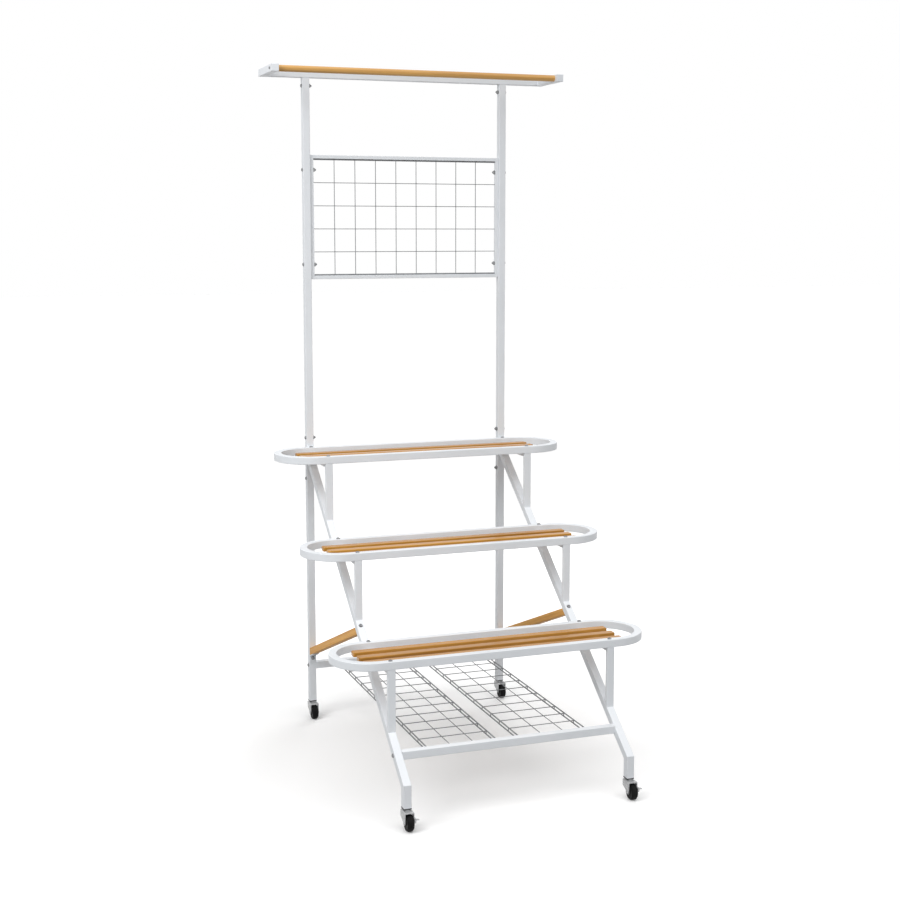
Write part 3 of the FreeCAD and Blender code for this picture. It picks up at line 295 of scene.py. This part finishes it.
def dress_wood():
    """Give each slat, the bar and each brace a piece of wood of its own."""
    slats = sorted(name for name in nodes if name.startswith("slat_") and name != "slat_screws")
    for count, name in enumerate(slats):
        # The slats' tone is partly painted shade.
        tone = SLAT_TONE + TONE_STEP * (count % SLAT_TONES)
        dress(wood(f"wood_{name}", SLAT_SEED + count, GOLDEN, tone, VARNISHED), name)
    dress(wood("wood_bar", BAR_SEED, PALE, BAR_TONE, SATIN), "hanging_bar")
    along_brace = (math.radians(BRACE_SLOPE), 0, math.pi / 2)
    for count, name in enumerate(("brace_left", "brace_right")):
        tone = BRACE_TONE + TONE_STEP * count
        dress(wood(f"wood_{name}", BRACE_SEED + count, HONEY, tone, PLAIN, along_brace), name)


def dress_all():
    """Give every piece its material."""
    dress(white_paint(), "upright", "top_frame", "side_frame", "shelf_ring", "crossbar_front",
          "crossbar_rear", "grid_panel_frame", "brace_strap")
    dress(coated_wire(), "grid_panel_mesh", "wire_shelf")
    dress(bolt_steel(), "frame_bolts", "frame_nuts", "ring_bolts", "slat_screws", "brace_screws",
          "bar_screws")
    dress(zinc_steel(), "fork", "axle", "caster_stems", "brake", "ring_inserts", "brace_inserts",
          "crossbar_plugs", "joint_sleeve")
    dress(black_rubber(), "wheel")
    dress(black_plastic(), "caster_sockets")
    dress_wood()


# Floor, light and camera


def directly_seen(tree):
    """1 for what is seen, straight, in a reflection or through glass, and 0 for the light it sheds."""
    path = tree.nodes.new("ShaderNodeLightPath")
    seen = path.outputs["Is Camera Ray"]
    for ray in ("Is Glossy Ray", "Is Transmission Ray"):
        either = tree.nodes.new("ShaderNodeMath")
        either.operation = "MAXIMUM"
        tree.links.new(seen, either.inputs[0])
        tree.links.new(path.outputs[ray], either.inputs[1])
        seen = either.outputs[0]
    return seen


def floor():
    """A white floor that sends only part of its light back up, with a painted shadow under the stand."""
    bpy.ops.mesh.primitive_plane_add(size=FLOOR_SIDE)
    plane = bpy.context.object
    plane.name = "floor"
    shader = Shader("floor")
    tone = shader.noise(shader.place, scale=1.5, detail=2.0)
    pale = shader.ramp(tone, [(0.3, (0.955, 0.955, 0.955, 1)), (0.7, (0.965, 0.965, 0.965, 1))])
    seen = directly_seen(shader.tree)
    # Painted shadow: the seen glow is weakest near this point beside the stand, so the floor is painted
    # darker there.
    from_painted_shadow = shader.mapped((1, 1, 1), shift=PAINTED_SHADOW_OFFSET)
    away = shader.add("ShaderNodeVectorMath", operation="LENGTH", Vector=from_painted_shadow).outputs["Value"]
    glow = shader.times(seen, shader.spread(away, GLOW_NEAR, GLOW_FAR, GLOW_START, GLOW_END))
    shader.set(Base_Color=shader.blend(seen, FLOOR_BOUNCE, pale), Roughness=1.0, Specular_IOR_Level=0.0,
               Emission_Color=WHITE, Emission_Strength=glow)
    plane.data.materials.append(shader.material)


def world():
    """A dim even room that looks white where it is seen."""
    room = bpy.data.worlds.new("studio")
    bpy.context.scene.world = room
    room.use_nodes = True
    tree = room.node_tree
    level = tree.nodes.new("ShaderNodeMapRange")
    level.inputs["To Min"].default_value = ROOM_LEVEL
    level.inputs["To Max"].default_value = 1.0
    tree.links.new(directly_seen(tree), level.inputs["Value"])
    backdrop = tree.nodes["Background"]
    tree.links.new(level.outputs["Result"], backdrop.inputs["Strength"])
    backdrop.inputs["Color"].default_value = WHITE


def placed(name, data):
    """An object for a lamp's or camera's data, in the scene."""
    thing = bpy.data.objects.new(name, data)
    bpy.context.collection.objects.link(thing)
    return thing


def key_light():
    """A broad soft light from above and in front."""
    data = bpy.data.lights.new("key", "SUN")
    data.angle = math.radians(KEY_SPREAD)
    data.energy = KEY_STRENGTH
    lamp = placed("key", data)
    x, y, z = KEY_SOURCE
    lamp.rotation_euler = (math.atan2(math.hypot(x, y), z), 0, math.atan2(y, x) + math.pi / 2)


def panel_light(name, place, aim, power):
    """A large soft panel that isn't seen itself."""
    data = bpy.data.lights.new(name, "AREA")
    data.shape = "SQUARE"
    data.size = PANEL_SIZE
    data.energy = power
    lamp = placed(name, data)
    lamp.location = place
    lamp.rotation_euler = (Vector(aim) - Vector(place)).to_track_quat("-Z", "Y").to_euler()
    lamp.visible_camera = False
    lamp.visible_glossy = False


def camera():
    """The camera, at the photograph's viewing angle."""
    data = bpy.data.cameras.new("camera")
    data.sensor_width = CAMERA_SENSOR
    data.sensor_fit = "HORIZONTAL"
    data.lens = CAMERA_LENS
    data.shift_x = CAMERA_SHIFT_X
    data.shift_y = CAMERA_SHIFT_Y
    data.clip_end = CAMERA_REACH
    rig = placed("camera", data)
    rig.location = CAMERA_PLACE
    rig.rotation_euler = (math.radians(90 - CAMERA_PITCH), 0, math.radians(-CAMERA_AZIMUTH))
    bpy.context.scene.camera = rig


dress_all()
floor()
world()
key_light()
panel_light("fill", FILL_PLACE, FILL_AIM, FILL_POWER)
panel_light("back", BACK_PLACE, BACK_AIM, BACK_POWER)
camera()
bpy.context.scene.view_settings.view_transform = "Standard"
